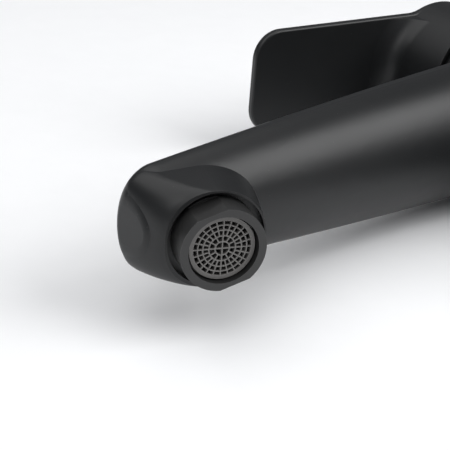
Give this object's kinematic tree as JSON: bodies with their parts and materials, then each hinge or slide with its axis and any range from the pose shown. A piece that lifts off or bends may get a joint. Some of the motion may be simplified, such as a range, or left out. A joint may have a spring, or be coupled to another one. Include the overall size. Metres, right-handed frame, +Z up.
{
  "type": "single-lever basin mixer faucet",
  "caption": "Deck-mounted single-lever basin mixer with a drooping tapered spout, flat lever, ceramic disc cartridge, aerator and deck clamp.",
  "frame": {"origin": "centre of the underside of the base seal, where the mixer sits on the basin or worktop", "axes": "+Z up along the column, the spout points to -Y, X is across; the lever is closed and centred"},
  "size_m": [0.056, 0.2125, 0.2306],
  "materials": {
    "black_coat": "matte black powder coat on cast brass",
    "aerator_black": "satin black plated brass",
    "grid_plastic": "warm grey moulded acetal",
    "black_plastic": "black moulded plastic",
    "seal_rubber": "black EPDM",
    "steel": "zinc plated",
    "brass": "machined",
    "cartridge_plastic": "white moulded plastic",
    "ring_plastic": "red moulded plastic",
    "ceramic": "lapped alumina"
  },
  "bodies": {
    "fixed_body": {"body": "black_coat", "base_ring": "black_coat", "base_seal": "seal_rubber", "mounting_stud": "steel", "port_seals": "seal_rubber", "cartridge_base": "cartridge_plastic", "disc_seals": "seal_rubber", "fixed_disc": "ceramic", "cartridge_housing": "cartridge_plastic", "limit_ring": "ring_plastic", "nut_washer": "cartridge_plastic", "cartridge_nut": "brass", "dome_cover": "black_coat"},
    "clamp_plate": {"horseshoe_gasket": "seal_rubber", "horseshoe_washer": "steel"},
    "clamp_nut": {"mounting_nut": "brass"},
    "turret": {"swivel_turret": "cartridge_plastic", "pivot_pin": "steel"},
    "handle": {"lever": "black_coat", "lever_screw": "steel", "screw_plug": "black_plastic", "spindle": "brass"},
    "sliding_disc": {"moving_disc": "ceramic", "disc_carrier": "cartridge_plastic"},
    "aerator_core": {"aerator_grid": "grid_plastic", "aerator_insert": "black_plastic", "aerator_screen": "cartridge_plastic", "aerator_gasket": "seal_rubber"},
    "aerator_shell": {"aerator_housing": "aerator_black"}
  },
  "joints": [
    {"name": "temperature_swivel", "type": "hinge", "parent": "fixed_body", "child": "turret", "pos_m": [0, 0, 0.134], "axis": [0, 0, 1], "range_deg": [-50, 50]},
    {"name": "lever_lift", "type": "hinge", "parent": "turret", "child": "handle", "pos_m": [0, 0, 0.134], "axis": [-1, 0, 0], "range_deg": [0, 25]},
    {"name": "disc_slide", "type": "slide", "parent": "turret", "child": "sliding_disc", "axis": [0, -1, 0], "range_m": [0, 0.0054]},
    {"name": "clamp_travel", "type": "slide", "parent": "fixed_body", "child": "clamp_plate", "axis": [0, 0, 1], "range_m": [-0.01, 0.027]},
    {"name": "nut_spin", "type": "hinge", "parent": "clamp_plate", "child": "clamp_nut", "pos_m": [0, 0.011, -0.035], "axis": [0, 0, 1], "range_deg": [-2900, 7800]},
    {"name": "aerator_travel", "type": "slide", "parent": "fixed_body", "child": "aerator_core", "axis": [0, -0.1994, -0.9799], "range_m": [0, 0.005]},
    {"name": "aerator_unscrew", "type": "hinge", "parent": "aerator_core", "child": "aerator_shell", "pos_m": [0, -0.1656, 0.0558], "axis": [0, -0.1994, -0.9799], "range_deg": [0, 1810]}
  ],
  "couplings": [
    {"joint": "disc_slide", "follows": "lever_lift", "m_per_rad": 0.012104},
    {"joint": "nut_spin", "follows": "clamp_travel", "rad_per_m": 5026.5},
    {"joint": "aerator_unscrew", "follows": "aerator_travel", "rad_per_m": 6283.2}
  ]
}
